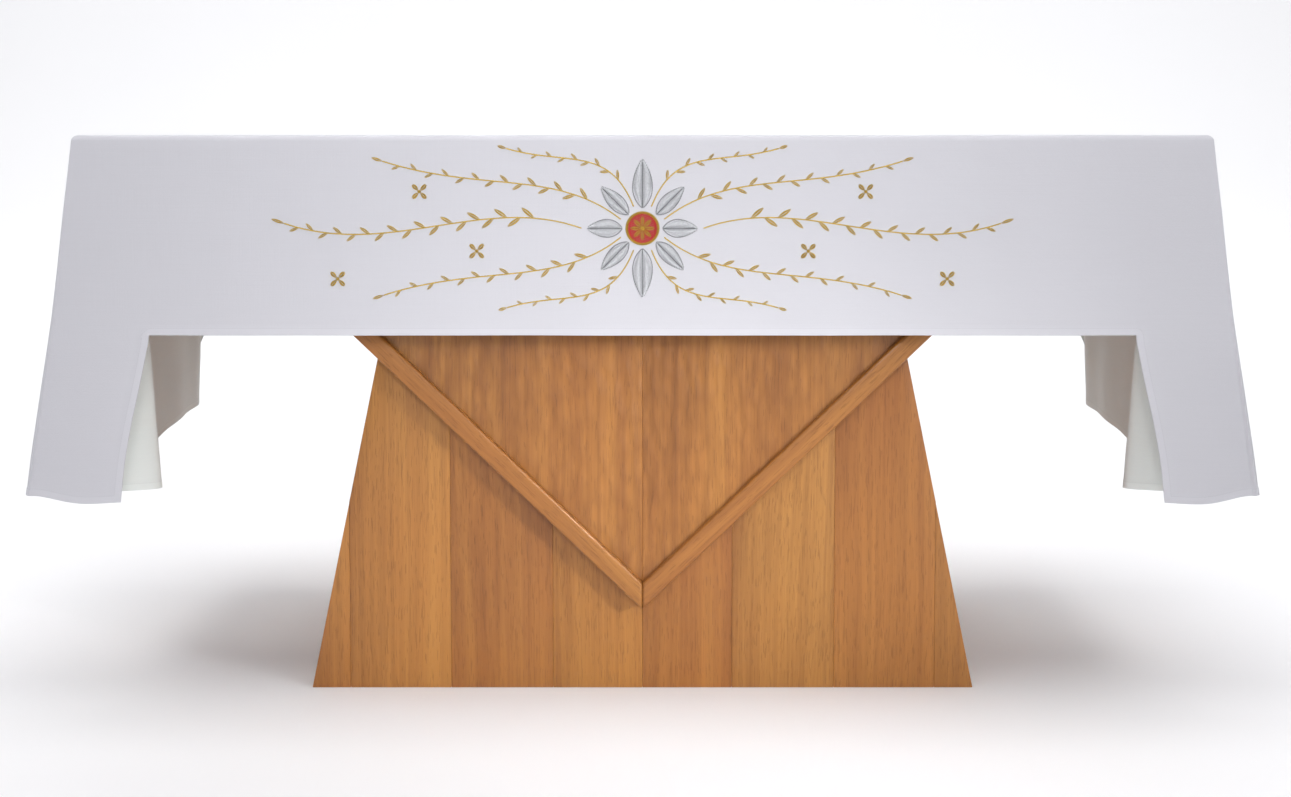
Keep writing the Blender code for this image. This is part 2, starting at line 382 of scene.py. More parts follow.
# How many threads' worth of slubs lie to the metre, across and along a thread
SLUBS_ACROSS, SLUBS_ALONG = 900.0, 14.0

# Length in which a thread's ply turns once
PLY_TURN = 0.0014


def woven(name, colour):
    """Matt plain weave with slubs, faint unevenness, and a sewn line along the hem."""
    finish = Finish(name, Roughness=0.86, Metallic=0.0, Sheen_Weight=0.25, Sheen_Roughness=0.5)
    along, down, _ = finish.parts(finish.uv("Weave"))
    warp = (along * (2 * math.pi / WEAVE_PITCH)).sine()
    weft = (down * (2 * math.pi / WEAVE_PITCH)).sine()
    weave = warp * weft
    warp_slubs = finish.noise(
        finish.vector(along * SLUBS_ACROSS, down * SLUBS_ALONG, 0.0), 1.0, 3.0
    )
    weft_slubs = finish.noise(
        finish.vector(along * SLUBS_ALONG, down * SLUBS_ACROSS, 0.5), 1.0, 3.0
    )
    slubs = warp_slubs + weft_slubs - 1.0
    clouds = finish.noise(finish.place(), 2.6, 3.0)

    from_edge, sewn_along, _ = finish.parts(finish.uv("Hem"))
    beside = (from_edge - SEAM_PLACE).size() < SEAM_REACH
    stitch = beside * ((sewn_along / SEAM_STITCH).fraction() < SEAM_COVER)
    turned = from_edge < HEM_SHADE_END

    shade = 0.5 + slubs * 0.55 + (clouds - 0.5) * 0.5
    cloth = finish.mixed(shade, opaque(colour, 0.955), opaque(colour, 1.03))
    hemmed = finish.mixed(turned * 0.5, cloth, opaque(colour, 1.06))
    finish.drive("Base Color", finish.mixed(stitch * 0.35, hemmed, opaque(colour, 0.72)))
    finish.bump(weave * 0.35 + slubs * 1.2 + turned * 1.0 - stitch * 1.6, 0.35, 0.0006)
    return finish.material


def thread_finish(name, colour, metallic, roughness, depth=0.72, specular=0.6):
    """Twisted embroidery thread, with its ply and a little change from stitch to stitch."""
    finish = Finish(name, Metallic=metallic, Specular_IOR_Level=specular)
    along, across, _ = finish.parts(finish.uv("Thread"))
    ply = ((along / PLY_TURN + across * 0.8) * (2 * math.pi)).sine()
    change = finish.noise(finish.place(), 420.0, 2.0)
    # The ply's sine lightens and darkens the colour along the twist: a painted highlight and shade
    # of the ply; the noise is the thread's own change from stitch to stitch
    finish.drive(
        "Base Color",
        finish.mixed(change * 0.7 + ply * 0.18 + 0.12, opaque(colour, depth), opaque(colour, 1.18)),
    )
    finish.drive("Roughness", roughness + (change - 0.5) * 0.2)
    finish.bump(ply, 0.5, 0.0002)
    return finish.material


# Fineness of the oak's patterns across, through and along a board
DRIFT = (3.0, 3.0, 0.9)
BANDS = (26.0, 26.0, 0.7)
LINES = (150.0, 150.0, 1.6)
FIBRES = (700.0, 700.0, 16.0)
PORES = (620.0, 620.0, 34.0)
CLOUDS = (5.0, 5.0, 2.2)
BLUSH = (2.6, 2.6, 1.5)

# How far the grain bends aside, how common pores are, and how many scoops lie to the metre
GRAIN_BEND = 0.07
PORE_LEVEL = 0.635
SCOOPS_TO_THE_METRE = 58.0


def oak(name, settings, seed, turn=(0.0, 0.0, 0.0), warmth=0.5, shade=0.0, tooled=False):
    """Honey oak under satin varnish. The grain runs up the board, unless turned.

    Warmth is the board's own place between golden and reddish wood, and shade darkens all of it as a
    painted shade.
    """
    finish = Finish(name, Metallic=0.0, Coat_Roughness=0.20, Specular_IOR_Level=0.42)
    place = finish.mapped(finish.place(), turn=turn, shift=(seed * 1.37, seed * 0.71, seed * 2.9))
    drift = finish.noise(finish.mapped(place, DRIFT), 1.0, 2.0)
    across, depth, up = finish.parts(place)
    bend = (drift - 0.5) * GRAIN_BEND
    bent = finish.vector(across + bend, depth + bend, up)
    bands = finish.noise(finish.mapped(bent, BANDS), 1.0, 2.5, 0.55)
    lines = finish.noise(finish.mapped(bent, LINES), 1.0, 2.0, 0.6)
    fibres = finish.noise(finish.mapped(bent, FIBRES), 1.0, 2.0, 0.6)
    pore = finish.noise(finish.mapped(bent, PORES), 1.0, 1.0) > PORE_LEVEL
    clouds = finish.noise(finish.mapped(place, CLOUDS), 1.0, 2.0)
    blush = finish.noise(finish.mapped(place, BLUSH, shift=(4.0, 2.0, 1.0)), 1.0, 1.0)

    redness = warmth + (blush - 0.5) * 1.3 + (bands - 0.5) * 0.9
    # The darkness comes from the grain and clouds, and is raised all over by shade, a painted shade
    dark = 0.30 + shade + (bands - 0.5) * 0.9 + (lines - 0.5) * 0.9
    dark = dark + (fibres - 0.5) * 0.35 + (clouds - 0.5) * 0.9
    relief = fibres * 0.16 + lines * 0.16 - pore * 0.22
    if tooled:
        scoops = finish.node(
            "ShaderNodeTexVoronoi",
            {"feature": "SMOOTH_F1"},
            {
                "Vector": finish.mapped(finish.place(), (1.0, 1.0, 0.42)),
                "Scale": SCOOPS_TO_THE_METRE,
                "Smoothness": 0.35,
                "Randomness": 0.85,
            },
            output="Distance",
        )
        relief = relief + scoops * 4.5
        # Darker away from the scoops' middles, at the ridges between them: a painted shading of the
        # tool marks, beside their bump
        dark = dark + (scoops - 0.40) * 0.45
    early = finish.mixed(redness, opaque(settings.golden_oak), opaque(settings.red_oak))
    wood = finish.mixed(dark, early, opaque(settings.dark_oak))
    finish.drive("Base Color", finish.mixed(pore * 0.30, wood, opaque(settings.dark_oak, 0.55)))
    finish.drive("Roughness", 0.38 + (fibres - 0.5) * 0.16 + pore * 0.10)
    finish.drive("Coat Weight", 0.32 + (clouds - 0.5) * 0.3)
    finish.bump(relief, 1.0, 0.0008)
    return finish.material


# Object helpers


def deselect_all():
    for chosen in list(bpy.context.selected_objects):
        chosen.select_set(False)


def make_active(piece):
    """Selects the piece alone, for the next operator."""
    deselect_all()
    piece.select_set(True)
    bpy.context.view_layer.objects.active = piece


def apply_modifiers(piece):
    """Turns the piece's modifiers into its mesh, in their order."""
    make_active(piece)
    for modifier in list(piece.modifiers):
        bpy.ops.object.modifier_apply(modifier=modifier.name)


def linked(name, mesh):
    """A new object for the mesh, unturned at the origin."""
    piece = bpy.data.objects.new(name, mesh)
    bpy.context.scene.collection.objects.link(piece)
    return piece


def riding(piece):
    """Every piece rides on the one body."""
    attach(piece, "root")
    return piece


# The sheet


def section_at(table, drop):
    """The corner's section at any depth, on curves through the table's rows that never overshoot."""
    rows = np.array(table)
    drops = rows[:, 0]
    gaps = np.diff(drops)[:, None]
    steps = np.diff(rows, axis=0) / gaps
    before, after = steps[:-1], steps[1:]
    same_way = before * after > 0
    slopes = np.zeros_like(rows)
    slopes[1:-1][same_way] = 2 * before[same_way] * after[same_way] / (before + after)[same_way]
    slopes[0], slopes[-1] = steps[0], steps[-1]
    i = int(np.clip(np.searchsorted(drops, drop) - 1, 0, len(drops) - 2))
    gap = drops[i + 1] - drops[i]
    t = (drop - drops[i]) / gap
    values = (
        (2 * t**3 - 3 * t**2 + 1) * rows[i]
        + (t**3 - 2 * t**2 + t) * gap * slopes[i]
        + (3 * t**2 - 2 * t**3) * rows[i + 1]
        + (t**3 - t**2) * gap * slopes[i + 1]
    )
    return Section(*values)


def lengths_along(points):
    """How far along their line each of the points lies."""
    steps = np.linalg.norm(np.diff(points, axis=0), axis=1)
    return np.concatenate([[0.0], np.cumsum(steps)])


def fold_weights(spans, hem_width):
    """Each column's weights on the padded guides of a fold, with columns at the turned hem."""
    hem_places = ((hem_width - HEM_STEP) / EDGE_GUIDE, (hem_width + HEM_STEP) / EDGE_GUIDE)
    places = [(0, t) for t in (0.0, FIRST_COLUMN, *hem_places, LAST_COLUMN)]
    places += [
        (span, step / SPAN_COLUMNS) for span in range(1, spans) for step in range(SPAN_COLUMNS)
    ]
    places.append((spans - 1, 1.0))
    weights = np.zeros((len(places), spans + 3))
    for row, (span, t) in zip(weights, places):
        row[span:span + 4] = np.array([
            (1 - t) ** 3,
            3 * t**3 - 6 * t**2 + 4,
            -3 * t**3 + 3 * t**2 + 3 * t + 1,
            t**3,
        ]) / 6
    return weights


def towards(start, end, distance):
    """The point that far from start towards end, or two fifths of the way if they are close."""
    way = end - start
    length = np.linalg.norm(way)
    return start + way / length * min(distance, 0.4 * length)


def corner_fold(section, hem, hem_width):
    """A corner's cloth at one section: in from the end drop, in from the long drop, and depth."""
    edge = np.array((section.edge_in, 0.0))
    ridge = np.array((-section.ridge_out, -section.ridge_forward))
    tuck = np.array((section.tuck_in, section.tuck_back))
    join = np.array((0.0, section.join_back))
    end = np.array((0.0, FOLD_START))
    softness = RIDGE_SOFTNESS * min(1.0, section.ridge_out / RIDGE_FULL_SIZE)
    guides = (
        (edge, hem.edge),
        (towards(edge, ridge, EDGE_GUIDE), (hem.edge + hem.flap) / 2),
        ((edge + ridge) / 2, hem.flap),
        (towards(ridge, edge, 4 * softness), hem.ridge),
        (towards(ridge, edge, softness), hem.ridge),
        (towards(ridge, tuck, softness), hem.ridge),
        (towards(ridge, tuck, 4 * softness), hem.ridge),
        ((ridge + tuck) / 2, (hem.ridge + hem.tuck) / 2),
        (towards(tuck, ridge, TUCK_SOFTNESS), hem.tuck),
        (towards(tuck, join, TUCK_SOFTNESS), hem.tuck),
        ((tuck + join) / 2, (hem.tuck + hem.join) / 2),
        (join, hem.join),
        ((join + end) / 2, (hem.join + hem.end) / 2),
        (end, hem.end),
    )
    below = max(0.0, (section.drop - LONG_DROP) / (END_DROP - LONG_DROP))
    points = np.array([
        (*place, min(section.drop, LONG_DROP) + below * (lowest - LONG_DROP))
        for place, lowest in guides
    ])
    padded = np.vstack([2 * points[0] - points[1], points, 2 * points[-1] - points[-2]])
    return fold_weights(len(guides) - 1, hem_width) @ padded


def half_section(drop, hem_width):
    """The left half of the cloth at one depth, from the front middle round to the back middle."""
    front = section_at(FRONT_CORNER, drop)
    back = section_at(BACK_CORNER, drop)

    def flat(section, side):
        steps = np.arange(FLAT_COLUMNS) / FLAT_COLUMNS
        reach = SHEET_HALF_WIDTH - section.edge_in
        return np.column_stack([
            -reach * steps,
            np.full(FLAT_COLUMNS, side * SHEET_HALF_DEPTH),
            np.full(FLAT_COLUMNS, min(drop, LONG_DROP)),
        ])

    def corner(section, hem, side):
        fold = corner_fold(section, hem, hem_width)
        return np.column_stack([
            fold[:, 0] - SHEET_HALF_WIDTH, side * (SHEET_HALF_DEPTH - fold[:, 1]), fold[:, 2]
        ])

    front_corner = corner(front, FRONT_HEM, -1)
    back_corner = corner(back, BACK_HEM, 1)
    share = (np.arange(1, END_COLUMNS) / END_COLUMNS)[:, None]
    end = front_corner[-1] * (1 - share) + back_corner[-1] * share
    return np.vstack([flat(front, -1), front_corner, end, back_corner[::-1], flat(back, 1)[::-1]])


def whole_section(drop, hem_width):
    """The closed line round the whole cloth at one depth, its first point repeated at the end."""
    left = half_section(drop, hem_width)
    right = left[::-1] * np.array((-1.0, 1.0, 1.0))
    return np.vstack([left, right[1:]])


def waves(settings, x, y, depth, facing):
    """How far the cloth stands out of its plane: soft waves that grow towards the hem."""
    def sum_of(table, along):
        return sum(
            wave.share * np.sin(
                2 * math.pi * wave.per_metre * along + wave.start + WAVE_SLIP * depth
            )
            for wave in table
        )

    growth = np.clip(depth / LONG_DROP, 0.0, GROWTH_END) ** WAVE_GROWTH
    long_side = sum_of(LONG_WAVES, x) * facing[:, 1] ** 2
    end_side = sum_of(END_WAVES, y) * facing[:, 0] ** 2
    return settings.wave_height * growth * (long_side + end_side)


def front_face(settings, x, depth):
    """How far forward the cloth's right side stands at a place on the front drop."""
    facing = np.zeros((len(x), 3))
    facing[:, 1] = 1.0
    wave = waves(settings, x, np.full_like(x, -SHEET_HALF_DEPTH), depth, facing)
    return SHEET_HALF_DEPTH + wave + settings.thickness / 2


def sheet_rows(settings):
    """Rows of points from the top's rim down to the hems, and where the hanging rows begin."""
    hem = settings.hem_width
    top = whole_section(EDGE_RADIUS, hem)
    inner = np.array((SHEET_HALF_WIDTH, SHEET_HALF_DEPTH)) - EDGE_RADIUS
    flat_part = np.clip(top[:, :2], -inner, inner)
    rows = []
    for step in range(EDGE_ROWS):
        turn = math.pi / 2 * step / EDGE_ROWS
        place = flat_part + (top[:, :2] - flat_part) * math.sin(turn)
        drop = EDGE_RADIUS * (1 - math.cos(turn))
        rows.append(np.column_stack([place, np.full(len(top), drop)]))
    hem_steps = np.array((hem + HEM_STEP, hem - HEM_STEP, LAST_ROW, 0.0))
    long_drops = np.concatenate([
        np.linspace(EDGE_RADIUS, LONG_DROP - hem - HEM_ROOM, LONG_ROWS), LONG_DROP - hem_steps
    ])
    low_drops = np.concatenate([
        np.linspace(LONG_DROP, END_DROP - hem - HEM_ROOM, LOW_ROWS)[1:], END_DROP - hem_steps
    ])
    rows += [whole_section(drop, hem) for drop in long_drops]
    hanging = len(rows) - 1
    rows += [whole_section(drop, hem) for drop in low_drops]
    return rows, hanging


def flap_columns(count):
    """Which columns hang below the long hems: both ends with their corners."""
    half = (count - 1) // 2
    low = np.zeros(count, bool)
    low[FLAT_COLUMNS:half - FLAT_COLUMNS + 1] = True
    low[half + FLAT_COLUMNS:count - FLAT_COLUMNS] = True
    return low


def hem_distance(rows, hanging):
    """For each point, how far it lies from the nearest free edge, measured along the cloth."""
    count = len(rows[0])
    low = flap_columns(count)
    flags = low.astype(int)
    starts = np.flatnonzero(np.diff(np.concatenate([[0], flags])) == 1)
    stops = np.flatnonzero(np.diff(np.concatenate([flags, [0]])) == -1)
    lowest = rows[-1][:, 2]
    distances = []
    for row in rows:
        along = lengths_along(row)
        from_free = np.full(count, 1.0)
        for start, stop in zip(starts, stops):
            part = along[start:stop + 1]
            from_free[start:stop + 1] = np.minimum(part - along[start], along[stop] - part)
        above = np.maximum(LONG_DROP - row[:, 2], 0.0)
        distances.append(np.where(
            low, np.minimum(np.hypot(from_free, above), lowest - row[:, 2]), above
        ))
    return distances


def top_rows(rim):
    """The places across and along of the flat top's grid, on the rim's own columns."""
    def values(numbers):
        kept = np.unique(np.round(numbers, 6))
        return kept[np.concatenate([[True], np.diff(kept) > MERGE_DISTANCE / 2])]

    return values(rim[:, 0]), values(rim[:, 1])


def sheet_mesh(settings):
    """The middle surface of the cloth, with its weave and hem maps."""
    rows, hanging = sheet_rows(settings)
    distances = hem_distance(rows, hanging)
    low = flap_columns(len(rows[0]))
    mesh = bmesh.new()
    weave = mesh.loops.layers.uv.new("Weave")
    hem = mesh.loops.layers.uv.new("Hem")

    def add_face(corners, flat_places, hem_places):
        face = mesh.faces.new(corners)
        face.smooth = True
        for loop, place, from_edge in zip(face.loops, flat_places, hem_places):
            loop[weave].uv = place
            loop[hem].uv = from_edge

    grid = []
    for level, row in enumerate(rows):
        verts = [
            mesh.verts.new((x, y, SHEET_HEIGHT - drop)) if level <= hanging or low[j] else None
            for j, (x, y, drop) in enumerate(row[:-1])
        ]
        grid.append(verts + verts[:1])
    lengths = [lengths_along(row) for row in rows]
    for level, (upper, lower) in enumerate(zip(grid, grid[1:])):
        for j in range(len(upper) - 1):
            corners = (upper[j], upper[j + 1], lower[j + 1], lower[j])
            if None in corners:
                continue
            spots = ((level, j), (level, j + 1), (level + 1, j + 1), (level + 1, j))
            add_face(
                corners,
                [(lengths[i][k], rows[i][k][2]) for i, k in spots],
                [(distances[i][k], lengths[i][k]) for i, k in spots],
            )

    widths, depths = top_rows(rows[0])
    top = [[mesh.verts.new((x, y, SHEET_HEIGHT)) for y in depths] for x in widths]
    for i in range(len(widths) - 1):
        for j in range(len(depths) - 1):
            spots = ((i, j), (i + 1, j), (i + 1, j + 1), (i, j + 1))
            add_face(
                [top[a][b] for a, b in spots],
                [(widths[a], depths[b]) for a, b in spots],
                [(1.0, 0.0)] * 4,
            )
    bmesh.ops.remove_doubles(mesh, verts=mesh.verts, dist=MERGE_DISTANCE)
    data = bpy.data.meshes.new("cloth_sheet")
    mesh.to_mesh(data)
    mesh.free()
    return data


def wave_sheet(settings, data):
    """Moves the drops in and out along their normals, and lifts the top by faint crests."""
    places, normals = (np.empty((len(data.vertices), 3)) for _ in range(2))
    data.vertices.foreach_get("co", places.ravel())
    data.vertices.foreach_get("normal", normals.ravel())
    depth = SHEET_HEIGHT - places[:, 2]
    out = waves(settings, places[:, 0], places[:, 1], depth, normals)
    crest = math.prod(
        np.sin(across * places[:, 0] + along * places[:, 1] + start)
        for across, along, start in CRESTS
    )
    lift = CREST_HEIGHT * (crest + 1.0) * np.clip(normals[:, 2], 0.0, 1.0) * (depth < EDGE_RADIUS)
    moved = places + normals * out[:, None]
    moved[:, 2] += lift
    data.vertices.foreach_set("co", moved.ravel())
    data.update()


class ALTARCLOTH_OT_sheet(bpy.types.Operator):
    """Adds the draped sheet with its folded corners, soft waves and turned hem"""

    bl_idname = "altar_cloth.sheet"
    bl_label = "Draped sheet"

    def execute(self, context):
        settings = context.scene.altar_cloth_sheet
        data = sheet_mesh(settings)
        wave_sheet(settings, data)
        sheet = linked("cloth_sheet", data)
        data.materials.append(woven("white_cloth", settings.colour))
        # The reverse's material is the same weave in the lighter colour: painted light
        data.materials.append(woven("white_cloth_reverse", settings.painted_lit_reverse_colour))

        hem_map = data.uv_layers["Hem"].data
        in_hem = {
            loop.vertex_index: mapped.uv[0] <= settings.hem_width
            for loop, mapped in zip(data.loops, hem_map)
        }
        group = sheet.vertex_groups.new(name="hem")
        group.add([vertex for vertex, hemmed in in_hem.items() if hemmed], 1.0, "REPLACE")

        doubled = sheet.modifiers.new("Thickness", "SOLIDIFY")
        doubled.thickness = settings.hem_thickness
        doubled.offset = 0.0
        doubled.use_even_offset = True
        doubled.vertex_group = "hem"
        doubled.thickness_vertex_group = settings.thickness / settings.hem_thickness
        doubled.material_offset = 1
        apply_modifiers(sheet)
        riding(sheet)
        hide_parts("altar_cloth")
        return {"FINISHED"}


# Embroidery

# Fineness of a stitch's dome, how far below its middle it is cut, and how blunt its ends are
STITCH_SEGMENTS, STITCH_RINGS = 8, 4
STITCH_CUT = 0.02
STITCH_TAPER = 0.6

# How deep the stitches are sunk in the cloth
SUNK = 0.0001


def unit_stitch():
    """One stitch: a low closed dome a unit long, wide and high, lying along X with tapered ends."""
    deselect_all()
    bpy.ops.mesh.primitive_uv_sphere_add(
        segments=STITCH_SEGMENTS, ring_count=STITCH_RINGS, radius=0.5,
        location=(0, 0, 0), rotation=(0, math.pi / 2, 0),
    )
    stitch = bpy.context.active_object
    bpy.ops.object.transform_apply(location=True, rotation=True, scale=True)
    bpy.ops.object.mode_set(mode="EDIT")
    bpy.ops.mesh.select_all(action="SELECT")
    bpy.ops.mesh.bisect(
        plane_co=(0, 0, -STITCH_CUT), plane_no=(0, 0, 1), use_fill=True, clear_inner=True
    )
    bpy.ops.object.mode_set(mode="OBJECT")
    mesh = stitch.data
    mesh.calc_loop_triangles()
    # The cut leaves its vertices and faces in no fixed order, so both are sorted by place, and
    # the wide face underneath, which is divided another way each run, gets a fan
    places = np.round([v.co for v in mesh.vertices], 6)
    order = np.lexsort(places.T)
    places = places[order]
    rank = np.argsort(order)
    under = max(mesh.polygons, key=lambda face: len(face.vertices))
    ring = rank[list(under.vertices)]
    ring = np.roll(ring, -ring.argmin())
    triangles = [(ring[0], *pair) for pair in zip(ring[1:], ring[2:])]
    for t in mesh.loop_triangles:
        if t.polygon_index != under.index:
            triangles.append(rank[list(t.vertices)])
    triangles = sorted(np.roll(t, -np.argmin(t)).tolist() for t in triangles)
    places[:, 0] = np.sign(places[:, 0]) * 0.5 * np.abs(places[:, 0] / 0.5) ** STITCH_TAPER
    places[:, 2] = np.clip(places[:, 2], 0.0, None) * 2.0
    bpy.data.objects.remove(stitch)
    return places, np.array(triangles)


def sewn(name, cloth, stitches, shape, finish):
    """Joins stitches into one piece on the front drop.

    Each stitch is its two ends, as distance right of the middle and depth below the top, its
    width, its height, and how far it is raised on other stitches.
    """
    places, triangles = shape
    rows = np.array(stitches)
    start, end = rows[:, 0:2], rows[:, 2:4]
    width, height, lift = rows[:, 4], rows[:, 5], rows[:, 6]
    middle = (start + end) / 2
    way = end - start
    length = np.linalg.norm(way, axis=1)
    side = np.column_stack([way[:, 1], -way[:, 0]]) / length[:, None]
    flat = (
        middle[:, None, :]
        + places[None, :, 0:1] * way[:, None, :]
        + places[None, :, 1:2] * (side * width[:, None])[:, None, :]
    ).reshape(-1, 2)
    up = (lift[:, None] + places[None, :, 2] * height[:, None]).reshape(-1)
    forward = front_face(cloth, flat[:, 0], flat[:, 1]) + up - SUNK
    points = np.column_stack([flat[:, 0], -forward, SHEET_HEIGHT - flat[:, 1]])
    count = len(places)
    faces = (triangles[None] + np.arange(len(rows))[:, None, None] * count).reshape(-1, 3)

    mesh = bpy.data.meshes.new(name)
    mesh.from_pydata(points.tolist(), [], faces.tolist())
    mesh.materials.append(finish)
    layer = mesh.uv_layers.new(name="Thread")
    along = ((places[None, :, 0] + 0.5) * length[:, None]).reshape(-1)
    across = np.tile(places[:, 1] + 0.5, len(rows))
    corner = faces.reshape(-1)
    layer.data.foreach_set("uv", np.column_stack([along[corner], across[corner]]).ravel())
    mesh.shade_smooth()
    mesh.update()
    piece = riding(linked(name, mesh))
    piece["sewn_on"] = "cloth_sheet"
    return piece


def pointing(angle):
    """A unit step that way."""
    return np.array((math.cos(angle), math.sin(angle)))


def turned(points, angle, origin):
    """Points turned by an angle from pointing right, then moved to their origin."""
    c, s = math.cos(angle), math.sin(angle)
    x, y = np.array(points).T
    return np.column_stack([origin[0] + c * x - s * y, origin[1] + s * x + c * y])


def leaf_half_width(share, width):
    """Half the width of an almond leaf at a share of its length, widest before the middle."""
    return width / 2 * np.sin(math.pi * share**0.82) ** 0.85


def satin_leaf(origin, angle, length, width, thread, height, lift=0.0, slant=0.55):
    """Satin stitches on both sides of a leaf's vein, slanting towards its tip."""
    stitches = []
    pitch = thread * 0.86
    for step in range(1, int(length / pitch)):
        place = step * pitch
        half = leaf_half_width(place / length, width)
        if half < thread * 0.6:
            continue
        reach = min(place + half * slant, length)
        for side in (-1, 1):
            ends = turned([(place, side * 0.00025), (reach, side * half)], angle, origin)
            stitches.append((*ends[0], *ends[1], thread, height, lift))
    return stitches


def line_of_stitches(points, stitch, thread, height, lift=0.0):
    """Stem stitches along a line, each a little aslant and lapping the next."""
    points = np.array(points)
    along = lengths_along(points)
    count = max(1, round(along[-1] / stitch))
    stitches = []
    for number in range(count):
        ends = np.array((number, min(number + 1.25, count))) * along[-1] / count
        start, end = (
            np.array([np.interp(place, along, points[:, axis]) for axis in (0, 1)])
            for place in ends
        )
        way = end - start
        aside = np.array((way[1], -way[0])) / np.linalg.norm(way) * thread * 0.16
        stitches.append((*(start + aside), *(end - aside), thread, height, lift))
    return stitches


def leaf_outline(origin, angle, length, width):
    """The closed edge of a leaf, from its root round the tip and back."""
    shares = np.linspace(0.0, 1.0, 25)
    half = leaf_half_width(shares, width)
    up = np.column_stack([shares * length, half])
    down = np.column_stack([shares * length, -half])[::-1]
    return turned(np.vstack([up, down]), angle, origin)


def ring_of_stitches(origin, inner, outer, thread, height, lift=0.0):
    """Satin stitches across a ring."""
    count = int(2 * math.pi * outer / (thread * 0.9))
    stitches = []
    for number in range(count):
        angle = 2 * math.pi * number / count
        way = pointing(angle)
        stitches.append((*(origin + way * inner), *(origin + way * outer), thread, height, lift))
    return stitches


def disc_of_stitches(origin, radius, thread, height, lift=0.0):
    """Rows of long and short stitches that fill a disc."""
    stitches = []
    pitch = thread * 0.85
    reach = 0.0075
    for number in range(int(2 * radius / pitch)):
        level = -radius + (number + 0.5) * pitch
        half = math.sqrt(radius**2 - level**2)
        cuts = [-half, half]
        place = -reach * 5 + reach * (number % 3) / 3
        while place < half:
            if place > -half:
                cuts.append(place)
            place += reach
        cuts.sort()
        for left, right in zip(cuts, cuts[1:]):
            if right - left > 0.0008:
                stitches.append((
                    origin[0] + left, origin[1] + level,
                    origin[0] + right, origin[1] + level, thread, height, lift,
                ))
    return stitches


# Lines of stem stitches: length of a stitch, width, height, and how far it is raised
Line = namedtuple("Line", "stitch thread height lift")
OUTLINE = Line(0.0042, 0.0017, 0.0014, 0.0)
VEIN = Line(0.0042, 0.0011, 0.0009, 0.0009)
STEM = Line(0.0046, 0.0023, 0.0012, 0.0)

# Satin stitches: width, height, and how far they are raised
Satin = namedtuple("Satin", "thread height lift")
STAR_SATIN = Satin(0.0009, 0.0011, 0.0009)
HEART_SATIN = Satin(0.0009, 0.0016, 0.0012)
SPRIG_SATIN = Satin(0.0010, 0.0011, 0.0)
TIP_SATIN = Satin(0.0009, 0.0012, 0.0)
PETAL_SATIN = Satin(0.0010, 0.0017, 0.0)
KNOT_SATIN = Satin(0.0009, 0.0020, 0.0004)

# The rosette's leaves and the star's petals: length, width, and how far out they start
Leaf = namedtuple("Leaf", "length width root")
LONG_LEAF = Leaf(0.078, 0.030, 0.032)
SIDE_LEAF = Leaf(0.056, 0.027, 0.032)
SLANT_LEAF = Leaf(0.062, 0.023, 0.031)
STAR_PETAL = Leaf(0.0165, 0.0062, 0.003)
LEAF_HEIGHT = 0.0016
OUTLINE_ROOM = 0.0014
VEIN_SHARE = 0.93

# The rosette's disc and the rings on it, each ring's inner and outer radius
DISC_RADIUS, DISC_HEIGHT = 0.0235, 0.0012
DISC_RING, DISC_RING_HEIGHT = (0.0225, 0.0272), 0.0020
STAR_HEART = (0.0005, 0.0042)


class ALTARCLOTH_OT_rosette(bpy.types.Operator):
    """Sews the rosette: silver leaves round a red disc with a gold ring and star"""

    bl_idname = "altar_cloth.rosette"
    bl_label = "Rosette"

    def execute(self, context):
        cloth = context.scene.altar_cloth_sheet
        threads = context.scene.altar_cloth_embroidery
        thread = threads.thread
        middle = np.array((0.0, threads.rosette_drop))
        shape = unit_stitch()
        silver = thread_finish("silver_thread", threads.silver, 0.55, 0.32)
        grey = thread_finish("grey_silver_thread", [0.36 * c for c in threads.silver], 0.5, 0.42)
        gold = thread_finish("gold_thread", threads.gold, 0.85, 0.40)
        red = thread_finish("red_silk", threads.red, 0.0, 0.55, specular=0.25)
        context.scene["gold_thread"] = gold

        leaves, outlines = [], []
        ornaments = ring_of_stitches(middle, *DISC_RING, thread, DISC_RING_HEIGHT)
        for number in range(8):
            angle = math.pi / 4 * number
            leaf = SLANT_LEAF if number % 2 else LONG_LEAF if number % 4 else SIDE_LEAF
            way = pointing(angle)
            origin = middle + way * leaf.root
            leaves += satin_leaf(origin, angle, leaf.length, leaf.width, thread, LEAF_HEIGHT)
            edge = leaf_outline(origin, angle, leaf.length, leaf.width + OUTLINE_ROOM)
            outlines += line_of_stitches(edge, *OUTLINE)
            outlines += line_of_stitches([origin, origin + way * leaf.length * VEIN_SHARE], *VEIN)
            ornaments += satin_leaf(
                middle + way * STAR_PETAL.root, angle, *STAR_PETAL[:2], *STAR_SATIN
            )
        ornaments += ring_of_stitches(middle, *STAR_HEART, *HEART_SATIN)
        disc = disc_of_stitches(middle, DISC_RADIUS, thread, DISC_HEIGHT)
        for name, stitches, finish in (
            ("leaves", leaves, silver),
            ("outlines", outlines, grey),
            ("disc", disc, red),
            ("gold", ornaments, gold),
        ):
            sewn(f"rosette_{name}", cloth, stitches, shape, finish)
        return {"FINISHED"}


